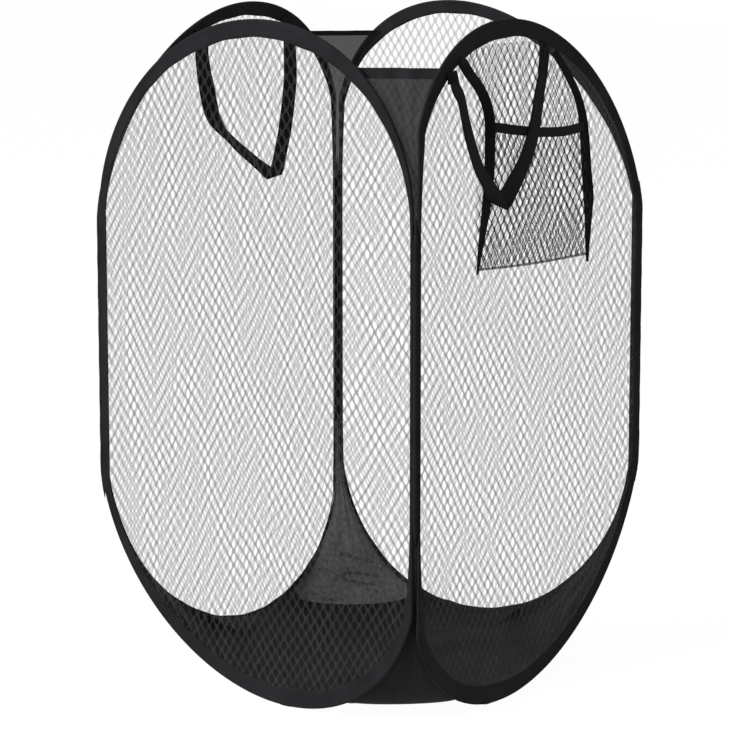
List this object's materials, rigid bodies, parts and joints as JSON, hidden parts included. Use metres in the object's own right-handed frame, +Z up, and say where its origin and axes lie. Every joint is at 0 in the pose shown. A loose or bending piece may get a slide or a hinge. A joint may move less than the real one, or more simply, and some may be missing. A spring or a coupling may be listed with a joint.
{
  "type": "pop up laundry hamper",
  "caption": "Folding laundry hamper: net panels in sprung oval rings, bound in black tape and joined round a square cloth floor, with strap handles and a side pocket",
  "frame": {"origin": "on the ground under the middle of the square floor", "axes": "+Z up, -Y towards the front panel, +X towards the right panel that carries the pocket"},
  "size_m": [0.375, 0.3638, 0.61],
  "materials": {
    "panel_mesh": "fine black polyester mesh, open net",
    "pocket_mesh": "dark polyester mesh, open net",
    "binding_tape": "black woven binding tape, matte",
    "gusset_cloth": "dark grey thin nylon, slightly see-through",
    "floor_cloth": "black thin nylon",
    "webbing": "black ribbed webbing",
    "spring_steel": "spring steel wire, inside the binding"
  },
  "bodies": {
    "front_panel": {"floor_panel": "floor_cloth", "front_binding": "binding_tape", "front_left_bottom_gusset": "gusset_cloth", "front_left_corner_seam": "binding_tape", "front_left_top_gusset": "gusset_cloth", "front_left_top_hem": "binding_tape", "front_net": "panel_mesh", "front_right_bottom_gusset": "gusset_cloth", "front_right_corner_seam": "binding_tape", "front_right_top_gusset": "gusset_cloth", "front_right_top_hem": "binding_tape", "front_spring_wire": "spring_steel", "front_wire_ferrule": "spring_steel"},
    "right_panel": {"pocket_back_net": "pocket_mesh", "pocket_bottom_seam": "webbing", "pocket_front_net": "pocket_mesh", "pocket_front_tape": "webbing", "pocket_hem": "webbing", "pocket_rear_tape": "webbing", "right_binding": "binding_tape", "right_handle_first_tab": "webbing", "right_handle_second_tab": "webbing", "right_net": "panel_mesh", "right_spring_wire": "spring_steel", "right_wire_ferrule": "spring_steel"},
    "back_panel": {"back_binding": "binding_tape", "back_net": "panel_mesh", "back_spring_wire": "spring_steel", "back_wire_ferrule": "spring_steel", "back_right_bottom_gusset": "gusset_cloth", "back_right_corner_seam": "binding_tape", "back_right_top_gusset": "gusset_cloth", "back_right_top_hem": "binding_tape"},
    "left_panel": {"left_binding": "binding_tape", "left_handle_first_tab": "webbing", "left_handle_second_tab": "webbing", "left_net": "panel_mesh", "left_spring_wire": "spring_steel", "left_wire_ferrule": "spring_steel", "back_left_bottom_gusset": "gusset_cloth", "back_left_corner_seam": "binding_tape", "back_left_top_gusset": "gusset_cloth", "back_left_top_hem": "binding_tape"},
    "right_handle": {"right_handle_strap": "webbing"},
    "left_handle": {"left_handle_strap": "webbing"}
  },
  "joints": [
    {"name": "front_right_fold", "type": "hinge", "parent": "front_panel", "child": "right_panel", "pos_m": [0.1775, -0.1775, 0.305], "axis": [0, 0, -1], "range_deg": [0, 75], "stiffness_Nm_per_rad": 0.3, "deforming": ["back_right_bottom_gusset", "back_right_corner_seam", "back_right_top_gusset", "back_right_top_hem", "front_right_bottom_gusset", "front_right_corner_seam", "front_right_top_gusset", "front_right_top_hem", "floor_panel"]},
    {"name": "front_left_fold", "type": "hinge", "parent": "front_panel", "child": "left_panel", "pos_m": [-0.1775, -0.1775, 0.305], "axis": [0, 0, -1], "range_deg": [0, 75], "stiffness_Nm_per_rad": 0.3, "deforming": ["front_left_bottom_gusset", "front_left_corner_seam", "front_left_top_gusset", "front_left_top_hem", "floor_panel"]},
    {"name": "back_left_fold", "type": "hinge", "parent": "left_panel", "child": "back_panel", "pos_m": [-0.1775, 0.1775, 0.305], "axis": [0, 0, 1], "range_deg": [0, 75], "stiffness_Nm_per_rad": 0.3, "deforming": ["back_left_bottom_gusset", "back_left_corner_seam", "back_left_top_gusset", "back_left_top_hem", "back_right_bottom_gusset", "back_right_corner_seam", "back_right_top_gusset", "back_right_top_hem"]},
    {"name": "right_handle_swing", "type": "hinge", "parent": "right_panel", "child": "right_handle", "pos_m": [0.18595, -0.068, 0.5595], "axis": [0, -1, 0], "range_deg": [0, 150]},
    {"name": "left_handle_swing", "type": "hinge", "parent": "left_panel", "child": "left_handle", "pos_m": [-0.17485, 0.032, 0.5786], "axis": [0, -1, 0], "range_deg": [0, 150]}
  ],
  "couplings": [
    {"joint": "front_left_fold", "follows": "front_right_fold", "ratio": 1},
    {"joint": "back_left_fold", "follows": "front_right_fold", "ratio": 1}
  ]
}
